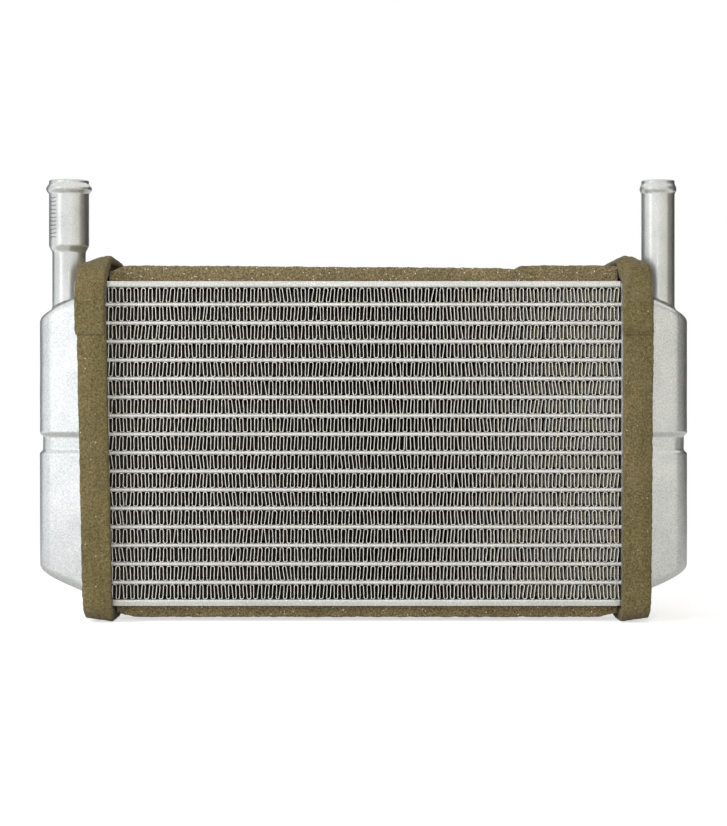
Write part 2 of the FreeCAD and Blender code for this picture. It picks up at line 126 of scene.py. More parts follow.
def frostedAluminium(name, look):
    # sheet aluminium out of a brazing furnace: matt silver with a frosty grain, small pits
    # and a cloudy haze of flux
    material, tree, shader = newMaterial(
        name, Metallic=look["metallic"], Roughness=look["roughness"])
    place = addNode(tree, "ShaderNodeTexCoord").outputs["Object"]
    grain = addNode(tree, "ShaderNodeTexNoise", {
        "Vector": place, "Scale": 1000 / look["grain"], "Detail": 2.0})
    haze = addNode(tree, "ShaderNodeTexNoise", {
        "Vector": place, "Scale": 1000 / look["haze"], "Detail": 4.0})
    mask = scatteredSpots(tree, place, look["pitSpacing"], look["pitSize"], look["pitShare"], 0.1)
    tone = addNode(tree, "ShaderNodeMapRange", {
        "Value": haze.outputs[0], "From Min": 0.3, "From Max": 0.7, "To Min": 0.0, "To Max": 1.0})
    base = addNode(tree, "ShaderNodeMix", {
        0: tone, 6: srgb(look["dull"]), 7: srgb(look["bright"])}, data_type="RGBA")
    fleck = addNode(tree, "ShaderNodeMapRange", {
        "Value": grain.outputs[0], "From Min": 0.35, "From Max": 0.65,
        "To Min": 1 - look["grainDepth"], "To Max": 1 + look["grainDepth"]})
    grained = addNode(tree, "ShaderNodeVectorMath", {0: base.outputs[2], 3: fleck}, operation="SCALE")
    colour = addNode(tree, "ShaderNodeMix", {0: mask, 6: grained, 7: srgb(look["pit"])}, data_type="RGBA")
    tree.links.new(colour.outputs[2], shader.inputs["Base Color"])
    bump = addNode(tree, "ShaderNodeBump", {
        "Height": grain.outputs[0], "Strength": look["bump"], "Distance": 0.0001})
    tree.links.new(bump.outputs[0], shader.inputs["Normal"])
    return material


def openFoam(name, look):
    # open-cell polyurethane foam tape: matt and olive brown, with painted shade in its pores and painted glints
    # here and there
    material, tree, shader = newMaterial(
        name, Roughness=0.95, Sheen_Weight=look["sheen"], Sheen_Roughness=0.6)
    shader.inputs["Specular IOR Level"].default_value = 0.2
    place = addNode(tree, "ShaderNodeTexCoord").outputs["Object"]
    cells = addNode(tree, "ShaderNodeTexVoronoi", {"Vector": place, "Scale": 1000 / look["cell"]})
    cloud = addNode(tree, "ShaderNodeTexNoise", {
        "Vector": place, "Scale": 1000 / look["cloud"], "Detail": 3.0})
    fine = addNode(tree, "ShaderNodeTexNoise", {
        "Vector": place, "Scale": 1000 / look["cell"] * 0.8, "Detail": 2.0})
    tone = addNode(tree, "ShaderNodeMapRange", {
        "Value": cloud.outputs[0], "From Min": 0.3, "From Max": 0.7})
    base = addNode(tree, "ShaderNodeMix", {
        0: tone, 6: srgb(look["dark"]), 7: srgb(look["light"])}, data_type="RGBA")
    # painted shade: each pore is darker at its middle and a little lighter at its rim, following the dimple of the
    # bump
    poreShade = addNode(tree, "ShaderNodeMapRange", {
        "Value": cells.outputs["Distance"], "From Min": 0.15, "From Max": 0.6,
        "To Min": look["poreShade"], "To Max": 1.1})
    grain = addNode(tree, "ShaderNodeMapRange", {
        "Value": fine.outputs[0], "From Min": 0.3, "From Max": 0.7,
        "To Min": 1 - look["grain"], "To Max": 1 + look["grain"]})
    shade = addNode(tree, "ShaderNodeMath", {0: poreShade, 1: grain}, operation="MULTIPLY")
    body = addNode(tree, "ShaderNodeVectorMath", {0: base.outputs[2], 3: shade}, operation="SCALE")
    # painted highlight: light spots put into the base colour as glints from the cells
    paintedGlints = scatteredSpots(
        tree, place, look["glintSpacing"], look["glintSize"], look["glintShare"], 0.05)
    colour = addNode(tree, "ShaderNodeMix", {0: paintedGlints, 6: body, 7: srgb(look["glint"])}, data_type="RGBA")
    tree.links.new(colour.outputs[2], shader.inputs["Base Color"])
    bump = addNode(tree, "ShaderNodeBump", {
        "Height": cells.outputs["Distance"], "Strength": look["bump"], "Distance": 0.0004})
    tree.links.new(bump.outputs[0], shader.inputs["Normal"])
    return material


tankLook = {
    "metallic": 0.8, "roughness": 0.32, "bright": "#e6e8e7", "dull": "#d6d9d9", "pit": "#8f8f89",
    "grain": 0.75, "grainDepth": 0.13, "haze": 16, "pitSpacing": 2.6, "pitSize": 0.1, "pitShare": 0.5,
    "bump": 0.5}
tubeLook = {
    **tankLook, "bright": "#f4f3f0", "dull": "#e6e5e1", "metallic": 0.6, "roughness": 0.5,
    "grain": 0.8, "grainDepth": 0.08, "pitShare": 0.2}
plateLook = {**tankLook, "bright": "#e4e5e1", "dull": "#d6d7d2", "pitSpacing": 1.6, "pitShare": 0.3}
foamLook = {
    "dark": "#695e3c", "light": "#776a46", "cell": 0.8, "cloud": 16, "poreShade": 0.62, "sheen": 0.1,
    "grain": 0.36, "bump": 0.7,
    "glint": "#cfc7a8", "glintSpacing": 2.4, "glintSize": 0.16, "glintShare": 0.12}
stripLook = {
    **foamLook, "dark": "#7a6d4f", "light": "#8b7c5a", "poreShade": 0.42,
    "glint": "#f0ece0", "glintSpacing": 1.7, "glintSize": 0.2, "glintShare": 0.5}

chatter = {
    "period": 1.9, "low": 181.0, "high": 201.0, "left": -145.6, "front": -4.6,
    "dark": 0.6, "mark": "#3c3a36"}


def chatterMarks(material):
    # short dark ticks that the bead tool left down the barrel's left side
    tree = material.node_tree
    shader = tree.nodes["Principled BSDF"]
    place = addNode(tree, "ShaderNodeTexCoord").outputs["Object"]
    parts = addNode(tree, "ShaderNodeSeparateXYZ", {0: place}).outputs
    # a wave texture repeats every 2 pi / (20 * scale) metres
    ticks = addNode(tree, "ShaderNodeTexWave", {
        "Vector": place, "Scale": math.pi * 100 / chatter["period"], "Distortion": 2.5, "Detail": 1.0,
        "Detail Scale": 1.4}, bands_direction="Z")
    dark = addNode(tree, "ShaderNodeMapRange", {
        "Value": ticks.outputs[1], "From Min": 0.7, "From Max": 0.9,
        "To Min": 0.0, "To Max": chatter["dark"]})
    left = addNode(tree, "ShaderNodeMapRange", {
        "Value": parts[0], "To Min": 1.0, "To Max": 0.0,
        "From Min": (chatter["left"] - 0.6) * mm, "From Max": (chatter["left"] + 0.4) * mm})
    front = addNode(tree, "ShaderNodeMath", {0: parts[1], 1: chatter["front"] * mm}, operation="LESS_THAN")
    corner = addNode(tree, "ShaderNodeMath", {0: left, 1: front}, operation="MULTIPLY")
    high = addNode(tree, "ShaderNodeMath", {0: parts[2], 1: chatter["low"] * mm}, operation="GREATER_THAN")
    low = addNode(tree, "ShaderNodeMath", {0: parts[2], 1: chatter["high"] * mm}, operation="LESS_THAN")
    span = addNode(tree, "ShaderNodeMath", {0: high, 1: low}, operation="MULTIPLY")
    area = addNode(tree, "ShaderNodeMath", {0: span, 1: corner}, operation="MULTIPLY")
    mask = addNode(tree, "ShaderNodeMath", {0: area, 1: dark}, operation="MULTIPLY")
    plain = shader.inputs["Base Color"].links[0].from_socket
    marked = addNode(tree, "ShaderNodeMix", {0: mask, 6: plain, 7: srgb(chatter["mark"])}, data_type="RGBA")
    tree.links.new(marked.outputs[2], shader.inputs["Base Color"])


tankMetal = frostedAluminium("brazedTankSheet", tankLook)
tubeMetal = frostedAluminium("brazedTubeStrip", tubeLook)
plateMetal = frostedAluminium("brazedPlateSheet", plateLook)
# drawn tube is smoother than the pressed sheet: the same metal with little grain
pipeLook = {
    **tankLook, "bright": "#e5e5e2", "dull": "#cfd1ce", "roughness": 0.29,
    "grain": 0.6, "grainDepth": 0.08, "bump": 0.26}
pipeMetal = frostedAluminium("brazedPipe", pipeLook)
inletMetal = frostedAluminium("brazedPipeMarked", pipeLook)
chatterMarks(inletMetal)
# the run-out of brazing alloy is dull, grey and blotchy
brazeLook = {
    **tankLook, "bright": "#a09f9a", "dull": "#6b6a65", "metallic": 0.4, "roughness": 0.7,
    "haze": 2.2, "grain": 0.5}
brazeMetal = frostedAluminium("brazeFillet", brazeLook)
strapFoam = openFoam("foamTapeStrap", foamLook)
stripFoam = openFoam("foamTapeStrip", stripLook)
print("materials ready")


fins = {
    "wallPitch": 1.70, "sheet": 0.31, "turnRadius": 0.85, "jitter": 0.17, "lean": 1.7, "crush": 2.6,
    "coreDepth": 40.0, "straight": 12.0, "bulge": 2.1, "endGap": 0.5, "louvreTilt": 1.3, "edgeDepth": 0.3,
    "rows": 17, "rowStart": 10.6, "rowPitch": 8.7, "rowHeight": 7.0, "seed": 40,
    "cornerShade": 0.25, "rightSideShade": 0.4, "warm": "#ddd0ae", "cool": "#d9dcdd", "edge": "#e9e6dc"}


def finStock():
    # brazed fin stock, 0.1 mm clad aluminium: dull warm walls whose fine louvres turn the sides facing left to the
    # front, with painted shade near the tubes and on the sides facing right, and a bright cut edge that is partly
    # a painted highlight. The louvres are too fine to show singly.
    material, tree, shader = newMaterial("louvredFinStock", Metallic=0.15, Roughness=0.5)
    place = addNode(tree, "ShaderNodeTexCoord").outputs["Object"]
    streaks = addNode(tree, "ShaderNodeTexNoise", {
        "Vector": addNode(tree, "ShaderNodeMapping", {0: place, 3: (420, 45, 90)}), "Scale": 1.0, "Detail": 2.0})
    tint = addNode(tree, "ShaderNodeMapRange", {
        "Value": streaks.outputs[0], "From Min": 0.35, "From Max": 0.65})
    base = addNode(tree, "ShaderNodeMix", {
        0: tint, 6: srgb(fins["warm"]), 7: srgb(fins["cool"])}, data_type="RGBA")
    _, depth, height = addNode(tree, "ShaderNodeSeparateXYZ", {0: place}).outputs
    row = addNode(tree, "ShaderNodeMath", {
        0: addNode(tree, "ShaderNodeMath", {0: height, 1: fins["rowStart"] * mm}, operation="SUBTRACT"),
        1: fins["rowPitch"] * mm, 2: 0.0}, operation="WRAP")
    middle = addNode(tree, "ShaderNodeMath", {0: row, 1: fins["rowHeight"] / 2 * mm}, operation="SUBTRACT")
    # painted shade: each wall is darkened towards the tubes at its row's top and bottom, where the turns lie in
    # the tubes' shade
    corner = addNode(tree, "ShaderNodeMapRange", {
        "Value": addNode(tree, "ShaderNodeMath", {0: middle}, operation="ABSOLUTE"),
        "From Min": (fins["rowHeight"] / 2 - 1.5) * mm, "From Max": (fins["rowHeight"] / 2 - 0.5) * mm,
        "To Min": 1.0, "To Max": fins["cornerShade"]})
    facing = addNode(tree, "ShaderNodeNewGeometry").outputs["Normal"]
    outer = addNode(tree, "ShaderNodeMath", {0: depth}, operation="SIGN")
    turned = addNode(tree, "ShaderNodeMath", {
        0: addNode(tree, "ShaderNodeSeparateXYZ", {0: facing}).outputs[0], 1: outer}, operation="MULTIPLY")
    # painted shade: the sides facing right, mirrored on the back half, are darkened as if they lay in shade away
    # from the light from the left
    rightShaded = addNode(tree, "ShaderNodeMapRange", {
        "Value": turned, "From Min": -0.7, "From Max": -0.3, "To Min": fins["rightSideShade"], "To Max": 1.0})
    shade = addNode(tree, "ShaderNodeMath", {0: corner, 1: rightShaded}, operation="MULTIPLY")
    shaded = addNode(tree, "ShaderNodeVectorMath", {0: base.outputs[2], 3: shade}, operation="SCALE")
    # the front 0.3 mm of each wall takes a lighter colour with none of the painted shade: the bare cut edge, and
    # partly a painted highlight where the light reaches the walls' front
    front = (fins["coreDepth"] / 2 - fins["edgeDepth"]) * mm
    edge = addNode(tree, "ShaderNodeMapRange", {
        "Value": addNode(tree, "ShaderNodeMath", {0: depth}, operation="ABSOLUTE"),
        "From Min": front - 0.2 * mm, "From Max": front, "To Min": 0.0, "To Max": 1.0})
    colour = addNode(tree, "ShaderNodeMix", {0: edge, 6: shaded, 7: srgb(fins["edge"])}, data_type="RGBA")
    tree.links.new(colour.outputs[2], shader.inputs["Base Color"])
    lit = addNode(tree, "ShaderNodeMapRange", {
        "Value": turned, "From Min": 0.3, "From Max": 0.8, "To Min": 0.0, "To Max": fins["louvreTilt"]})
    tilt = addNode(tree, "ShaderNodeMath", {0: lit, 1: outer}, operation="MULTIPLY")
    leant = addNode(tree, "ShaderNodeVectorMath", {
        0: facing, 1: addNode(tree, "ShaderNodeCombineXYZ", {1: tilt})}, operation="ADD")
    louvre = addNode(tree, "ShaderNodeVectorMath", {0: leant}, operation="NORMALIZE")
    tree.links.new(louvre.outputs[0], shader.inputs["Normal"])
    return material


finMetal = finStock()

# carried over from the CAD: tubes, plates and headers
for name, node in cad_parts.items():
    if name.startswith("tube_"):
        metal = tubeMetal
    elif name.startswith("side_plate"):
        metal = plateMetal
    elif name.startswith("header"):
        metal = tankMetal
    else:
        continue
    for held in node.material_slots:
        held.material = metal
    if not node.material_slots:
        node.data.materials.append(metal)


def finTree():
    # one folded sheet to a row, rounded by Fillet Curve and pulled through the core's depth
    tree = bpy.data.node_groups.new("foldedFin", "GeometryNodeTree")
    sockets = [
        ("Corners", "NodeSocketInt"), ("Wall Pitch", "NodeSocketFloat"), ("Height", "NodeSocketFloat"),
        ("Turn Radius", "NodeSocketFloat"), ("Jitter", "NodeSocketFloat"), ("Lean", "NodeSocketFloat"),
        ("Crush", "NodeSocketFloat"), ("Phase", "NodeSocketInt"), ("Seed", "NodeSocketInt"),
        ("Metal", "NodeSocketMaterial")]
    tree.interface.new_socket("Geometry", in_out="OUTPUT", socket_type="NodeSocketGeometry")
    for name, kind in sockets:
        tree.interface.new_socket(name, in_out="INPUT", socket_type=kind)
    given = addNode(tree, "NodeGroupInput").outputs
    line = addNode(tree, "GeometryNodeMeshLine", {"Count": given["Corners"]})
    index = addNode(tree, "GeometryNodeInputIndex")
    half = addNode(tree, "ShaderNodeMath", {0: index, 1: 0.5}, operation="MULTIPLY")
    wall = addNode(tree, "ShaderNodeMath", {0: half}, operation="FLOOR")
    nextHalf = addNode(tree, "ShaderNodeMath", {0: half, 1: 0.5}, operation="ADD")
    turn = addNode(tree, "ShaderNodeMath", {0: nextHalf}, operation="FLOOR")
    shifted = addNode(tree, "ShaderNodeMath", {0: turn, 1: given["Phase"]}, operation="ADD")
    isHigh = addNode(tree, "ShaderNodeMath", {0: shifted, 1: 2.0}, operation="MODULO")
    step = addNode(tree, "ShaderNodeMath", {0: wall, 1: given["Wall Pitch"]}, operation="MULTIPLY")
    spot = addNode(tree, "ShaderNodeCombineXYZ", {
        0: addNode(tree, "ShaderNodeMath", {0: wall, 1: 0.13}, operation="MULTIPLY"), 1: given["Seed"]})
    clump = addNode(tree, "ShaderNodeTexNoise", {"Vector": spot, "Scale": 1.0, "Detail": 1.0})
    strong = addNode(tree, "ShaderNodeMapRange", {
        "Value": clump.outputs[0], "From Min": 0.57, "From Max": 0.72, "To Min": 1.0,
        "To Max": addNode(tree, "ShaderNodeMath", {0: given["Crush"], 1: 1.0}, operation="ADD")})
    draw = addNode(tree, "FunctionNodeRandomValue", {2: -1.0, 3: 1.0, "Seed": given["Seed"]})
    nudge = addNode(tree, "ShaderNodeMath", {0: draw.outputs[1], 1: given["Jitter"]}, operation="MULTIPLY")
    moved = addNode(tree, "ShaderNodeMath", {0: nudge, 1: strong}, operation="MULTIPLY")
    drift = addNode(tree, "ShaderNodeTexNoise", {
        "Vector": addNode(tree, "ShaderNodeVectorMath", {0: spot, 1: (40.0, 7.0, 3.0)}, operation="ADD"),
        "Scale": 0.9, "Detail": 1.0})
    slope = addNode(tree, "ShaderNodeMath", {0: drift.outputs[0], 1: 0.5}, operation="SUBTRACT")
    leaning = addNode(tree, "ShaderNodeMath", {0: slope, 1: given["Lean"]}, operation="MULTIPLY")
    ends = addNode(tree, "ShaderNodeMath", {0: isHigh, 1: 2.0, 2: -1.0}, operation="MULTIPLY_ADD")
    leant = addNode(tree, "ShaderNodeMath", {0: leaning, 1: ends, 2: moved}, operation="MULTIPLY_ADD")
    x = addNode(tree, "ShaderNodeMath", {0: step, 1: leant}, operation="ADD")
    z = addNode(tree, "ShaderNodeMath", {0: isHigh, 1: given["Height"]}, operation="MULTIPLY")
    placed = addNode(tree, "GeometryNodeSetPosition", {
        "Geometry": line, "Position": addNode(tree, "ShaderNodeCombineXYZ", {0: x, 2: z})})
    folds = addNode(tree, "GeometryNodeMeshToCurve", {0: placed})
    rounded = addNode(tree, "GeometryNodeFilletCurve", {
        0: folds, "Radius": given["Turn Radius"], "Limit Radius": True, "Count": 3}, mode="POLY")
    sheet = addNode(tree, "GeometryNodeCurveToMesh", {0: rounded})
    straight, bulge = fins["straight"] * mm, fins["bulge"] * mm
    middle = (fins["coreDepth"] - 2 * fins["straight"]) / 2 * mm
    geometry, edge = sheet.outputs[0], None
    for offset in ((0, straight, 0), (bulge, middle, 0), (-bulge, middle, 0), (0, straight, 0)):
        pulled = addNode(tree, "GeometryNodeExtrudeMesh", {
            "Mesh": geometry, "Offset Scale": 1.0,
            "Offset": addNode(tree, "ShaderNodeCombineXYZ", dict(enumerate(offset)))}, mode="EDGES")
        if edge is not None:
            tree.links.new(edge, pulled.inputs["Selection"])
        geometry, edge = pulled.outputs["Mesh"], pulled.outputs["Top"]
    real = addNode(tree, "GeometryNodeRealizeInstances", {0: geometry})
    dressed = addNode(tree, "GeometryNodeSetMaterial", {"Geometry": real, "Material": given["Metal"]})
    addNode(tree, "NodeGroupOutput", {0: dressed})
    return tree


def foldedFin(tree, row):
    node = f"fin_{row:02d}"
    low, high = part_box(node)
    length = high.x - low.x - 2 * fins["endGap"] * mm
    walls = round(length / (fins["wallPitch"] * mm))
    sheet = fins["sheet"] * mm
    piece = meshPiece(f"foldedFin_{row:02d}", [], [], finMetal)
    folds = piece.modifiers.new("folds", "NODES")
    folds.node_group = tree
    values = {
        "Corners": 2 * walls, "Wall Pitch": length / (walls - 1), "Height": high.z - low.z - sheet,
        "Turn Radius": fins["turnRadius"] * mm, "Jitter": fins["jitter"] * mm, "Lean": fins["lean"] * mm,
        "Crush": fins["crush"], "Phase": row % 2, "Seed": fins["seed"] + row, "Metal": finMetal}
    for socket in tree.interface.items_tree:
        if socket.in_out == "INPUT":
            folds[socket.identifier] = values[socket.name]
    thick = piece.modifiers.new("sheet", "SOLIDIFY")
    thick.thickness = sheet
    thick.offset = 0
    bakeModifiers(piece)
    middle = (low + high) / 2
    piece.data.transform(Matrix.Translation(
        (middle.x - length / 2, low.y, low.z + sheet / 2)))
    for face in piece.data.polygons:
        face.use_smooth = False
    return finish(piece, "fin", node)


tree = finTree()
for row in range(1, fins["rows"] + 1):
    foldedFin(tree, row)
print("fins folded")

# a pressed sheet, drawn as its height over the flange
tank = {
    "flangeX": 128.0, "backX": 126.5, "middle": 83.7, "halfDepth": 23.15, "halfHeight": 77.2, "corner": 3.5,
    "crownRadius": 11.0, "crownAxis": 15.3, "wallDraft": 20.0, "endDraft": 21.0, "endMargin": 5.6,
    "grooveHeight": 9.6, "grooveDepth": 1.5, "grooveSlope": 1.6, "blend": 10.5, "foot": 4.8, "edge": 0.9,
    "border": (0, 0.12, 0.3, 0.55, 0.9), "evenY": 22.0, "stepY": 0.5, "evenZ": 76.0, "stepZ": 0.75,
    "wobble": 0.12, "holeRadius": 7.5, "holeDepth": 30.0}


def smoothMin(a, b, k):
    return np.minimum(a, b) - np.maximum(k - np.abs(a - b), 0) ** 2 / (4 * k)


def tankHeight(y, z):
    draft, endDraft = math.radians(tank["wallDraft"]), math.radians(tank["endDraft"])
    half = tank["grooveHeight"] / 2
    groove = tank["grooveDepth"] * (1 - smoothStep(half - tank["grooveSlope"], half, np.abs(z)))
    radius = tank["crownRadius"] - groove
    wall = tank["crownAxis"] + (radius / math.cos(draft) - np.abs(y)) / math.tan(draft)
    crown = tank["crownAxis"] + np.sqrt(np.maximum(radius ** 2 - y ** 2, 0))
    section = np.where(np.abs(y) < radius * math.cos(draft), crown, wall)
    end = (tank["halfHeight"] - tank["endMargin"] - np.abs(z)) / math.tan(endDraft)
    top = smoothMin(section, end, tank["blend"])
    return -smoothMin(-top, -np.zeros_like(top), tank["foot"])


def gridLine(half, even, step):
    # even steps over the middle, and close ones at the rim
    rim = [half - b for b in tank["border"]]
    return np.array([-r for r in rim] + list(np.arange(-even, even + 0.01, step)) + rim[::-1])

def pressedTank(side, name):
    halfY, halfZ = tank["halfDepth"], tank["halfHeight"]
    ys = gridLine(halfY, tank["evenY"], tank["stepY"])
    zs = gridLine(halfZ, tank["evenZ"], tank["stepZ"])
    y, z = np.meshgrid(ys, zs, indexing="ij")
    out = tankHeight(y, z)
    rim = np.minimum(halfY - np.abs(y), halfZ - np.abs(z))
    out -= tank["edge"] * 0.5 * np.clip(1 - rim / tank["edge"], 0, 1) ** 2
    # the square corners of the grid are drawn in to the flange's round ones
    corner = tank["corner"]
    overY, overZ = np.maximum(np.abs(y) - halfY + corner, 0), np.maximum(np.abs(z) - halfZ + corner, 0)
    longest, across = np.maximum(overY, overZ), np.hypot(overY, overZ)
    pull = np.where((overY > 0) & (overZ > 0), longest / np.maximum(across, 1e-9), 1)
    yy = np.sign(y) * (np.abs(y) - overY + overY * pull)
    zz = np.sign(z) * (np.abs(z) - overZ + overZ * pull)
    verts = []
    for i in range(len(ys)):
        for j in range(len(zs)):
            wobble = tank["wobble"] * noise.noise(Vector((yy[i, j] * 0.11, zz[i, j] * 0.06, 3.1 + side)))
            lift = wobble * min(1, out[i, j] / 4) if out[i, j] > 0 else 0
            x = side * (tank["flangeX"] + out[i, j] + lift)
            verts.append((x * mm, yy[i, j] * mm, (tank["middle"] + zz[i, j]) * mm))
    rows, columns = len(ys), len(zs)
    faces = []
    for i in range(rows - 1):
        for j in range(columns - 1):
            quad = (i * columns + j, (i + 1) * columns + j, (i + 1) * columns + j + 1, i * columns + j + 1)
            faces.append(quad if side > 0 else quad[::-1])
    # once round the rim, and from there to the flange's back
    loop = [i * columns for i in range(rows)] + [(rows - 1) * columns + j for j in range(1, columns)]
    loop += [i * columns + columns - 1 for i in range(rows - 2, -1, -1)]
    loop += list(range(columns - 2, 0, -1))
    start = len(verts)
    for n in loop:
        verts.append((side * tank["backX"] * mm, verts[n][1], verts[n][2]))
    count = len(loop)
    for k in range(count):
        quad = (loop[k], start + k, start + (k + 1) % count, loop[(k + 1) % count])
        faces.append(quad if side > 0 else quad[::-1])
    cap = list(range(start, start + count))
    faces.append(cap[::-1] if side > 0 else cap)
    return meshPiece(name, verts, faces, tankMetal)


pipes = {
    "axis": 140.5, "top": 208.9, "foot": 143.6, "radius": 7.94, "wall": 1.05,
    "barrel": 9.525, "barrelLength": 30.7, "taper": 4.2, "beadDrop": 4.1, "beadHalf": 2.5,
    "inletBead": 1.4, "outletBead": 0.85, "boreBead": 0.6, "steps": 112, "rise": 0.45}


def pipeRadius(z, top, bead):
    neck = pipes["top"] - pipes["barrelLength"]
    swell = float(smoothStep(neck - pipes["taper"], neck, z))
    radius = pipes["radius"] + (top - pipes["radius"]) * swell
    away = abs(z - pipes["top"] + pipes["beadDrop"])
    if away < pipes["beadHalf"]:
        radius += bead * math.cos(away / pipes["beadHalf"] * math.pi / 2) ** 1.3
    return radius


def ringFaces(steps, count):
    # four-sided faces from each ring of points to the next, closed both ways
    faces = []
    for s in range(steps):
        for k in range(count):
            a, b = s * count + k, s * count + (k + 1) % count
            c, d = (s + 1) % steps * count + (k + 1) % count, (s + 1) % steps * count + k
            faces.append((a, b, c, d))
    return faces

def revolved(name, axisX, profile, material):
    steps = pipes["steps"]
    verts = []
    for s in range(steps):
        angle = 2 * math.pi * s / steps
        for r, z in profile:
            verts.append(((axisX + r * math.cos(angle)) * mm, r * math.sin(angle) * mm, z * mm))
    # turned so that they face outwards
    faces = [face[::-1] for face in ringFaces(steps, len(profile))]
    return meshPiece(name, verts, faces, material)


def hosePipe(name, node, axisX, top, bead, metal):
    low, high, wall = pipes["foot"], pipes["top"], pipes["wall"]
    heights = list(np.arange(low, high - 0.5, pipes["rise"]))
    # bottom to top outside, over the rounded lip and down the bore
    outer = [(pipeRadius(z, top, bead), z) for z in heights]
    lip = [(top - 0.12, high - 0.25), (top - 0.35, high - 0.06), (top - wall / 2, high),
           (top - wall + 0.25, high - 0.06), (top - wall, high - 0.3)]
    inner = [(pipeRadius(z, top, bead * pipes["boreBead"]) - wall, z) for z in heights[::-1]]
    return finish(revolved(name, axisX, outer + lip + inner, metal), "pipe", node)


braze = {
    "steps": 120, "rise": 1.4, "run": 1.35, "rough": 0.35, "searchFrom": 40.0, "searchTo": 77.0}

def tankTop(x, y):
    # how high the tank's upper end is at a place, found by halving the span that it lies in
    outX = abs(x) - tank["flangeX"]
    low, high = braze["searchFrom"], braze["searchTo"]
    for _ in range(40):
        middle = (low + high) / 2
        if float(tankHeight(np.array([y]), np.array([middle]))[0]) > outX:
            low = middle
        else:
            high = middle
    return tank["middle"] + low

def brazeRing(name, side):
    # the alloy's run-out between pipe and tank, a little uneven on its way round
    steps, radius, centre = braze["steps"], pipes["radius"], side * pipes["axis"]
    verts = []
    for s in range(steps):
        angle = 2 * math.pi * s / steps
        rough = 1 + braze["rough"] * noise.noise(
            Vector((math.cos(angle) * 2.3, math.sin(angle) * 2.3, 7 + side)))
        rise, run = braze["rise"] * rough, braze["run"] * rough
        way = Vector((math.cos(angle), math.sin(angle)))
        section = ((radius - 0.4, rise), (radius + 0.12, rise * 0.9), (radius + run * 0.3, rise * 0.35),
                   (radius + run, 0.06), (radius + run * 1.1, -0.5), (radius - 0.4, -0.9))
        for r, lift in section:
            x, y = centre + way.x * r, way.y * r
            verts.append((x * mm, y * mm, (tankTop(x, y) + lift) * mm))
    return finish(meshPiece(name, verts, ringFaces(steps, len(section)), brazeMetal), "tank")

for side, end, pipeName, top, bead in (
        (-1, "left", "inlet", pipes["barrel"], pipes["inletBead"]),
        (1, "right", "outlet", pipes["radius"], pipes["outletBead"])):
    piece = pressedTank(side, f"pressedTank_{end}")
    bpy.ops.mesh.primitive_cylinder_add(
        vertices=96, radius=tank["holeRadius"] * mm, depth=tank["holeDepth"] * mm,
        location=(side * pipes["axis"] * mm, 0, (pipes["foot"] + tank["holeDepth"] / 2) * mm))
    cutter = bpy.context.object
    hole = piece.modifiers.new("hole", "BOOLEAN")
    hole.object = cutter
    hole.operation = "DIFFERENCE"
    hole.solver = "EXACT"
    bakeModifiers(piece)
    bpy.data.objects.remove(cutter)
    finish(piece, "tank", f"tank_{end}")
    hosePipe(f"{pipeName}HosePipe", f"{pipeName}_pipe", side * pipes["axis"], top, bead,
             inletMetal if side < 0 else pipeMetal)
    brazeRing(f"brazeRing_{end}", side)
print("tanks and pipes made")

foam = {"voxel": 0.75, "rounding": 4, "coarse": 0.3, "coarseScale": 0.35, "fine": 0.2, "fineScale": 1.4}


def foamPiece(name, node, slot, material, shape=None):
    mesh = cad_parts[node].data.copy()
    piece = bpy.data.objects.new(name, mesh)
    bpy.context.scene.collection.objects.link(piece)
    work = bmesh.new()
    work.from_mesh(mesh)
    bmesh.ops.remove_doubles(work, verts=work.verts, dist=0.01 * mm)
    work.to_mesh(mesh)
    work.free()
    grid = piece.modifiers.new("cells", "REMESH")
    grid.mode = "VOXEL"
    grid.voxel_size = foam["voxel"] * mm
    soft = piece.modifiers.new("rounding", "SMOOTH")
    soft.factor = 0.5
    soft.iterations = foam["rounding"]
    bakeModifiers(piece)
    mesh = piece.data
    normals = [v.normal.copy() for v in mesh.vertices]
    for vertex, normal in zip(mesh.vertices, normals):
        at = vertex.co / mm
        rough = foam["coarse"] * noise.noise(at * foam["coarseScale"])
        rough += foam["fine"] * noise.noise(at * foam["fineScale"])
        vertex.co += normal * rough * mm
        if shape:
            vertex.co = shape(vertex.co / mm, normal) * mm
    mesh.materials.clear()
    mesh.materials.append(material)
    for face in mesh.polygons:
        face.use_smooth = True
    finish(piece, slot, node)
    return piece


folds = {
    "front": 24.0, "crown": 1.0, "halfWidth": 7.0, "ridge": {-1: 125.8, 1: 129.5},
    "footSlope": 0.13, "footHeight": 14.0, "footInner": {-1: 117.5, 1: 120.8},
    "lapBack": 28.95, "lapTop": 151.0, "lapEnd": 136.4, "lapLonger": 2.7, "lapThin": 0.65,
    "creaseX": 125.4, "creaseZ": 168.2, "creaseLean": 0.27, "creaseDepth": 1.5,
    "creaseFront": 13.0, "creaseFull": 23.0, "creaseMost": 4.5, "creaseStart": (148, 158),
    "creaseTuck": 0.45, "tuckStart": (146, 152), "tuckEnd": (154, 168)}
press = {
    "from": 120.9, "to": 126.4, "blend": 0.8, "top": 161.25, "strapEnd": 19.4, "under": 158,
    "front": -23.25, "frontDeep": 2.2, "frontTop": 160, "ledge": 151.7, "ledgeNear": 2}
joint = {
    "seat": 158.3, "height": 9.5, "at": 73.2, "back": 2.4, "longBack": 1.4, "reach": 7.0, "rise": 1.3, "ramp": 3.6,
    "leftEnd": -120.2, "leftRun": 8.0, "leftDrop": 2.6}


def crowned(side, at):
    # the wrapped foam bulges to a soft ridge down its front
    if at.y > -folds["front"]:
        return at
    off = abs(side * at.x - folds["ridge"][side]) / folds["halfWidth"]
    return Vector((at.x, at.y + folds["crown"] * (min(off, 1.3) - 0.7), at.z))


def strapShape(side):
    # the foot is cut askew: it stands on its inner side
    def shape(at, normal):
        at = crowned(side, at)
        outside = max(side * at.x - folds["footInner"][side], 0)
        low = 1 - float(smoothStep(0, folds["footHeight"], at.z))
        return Vector((at.x, at.y, at.z + folds["footSlope"] * low * outside))
    return shape


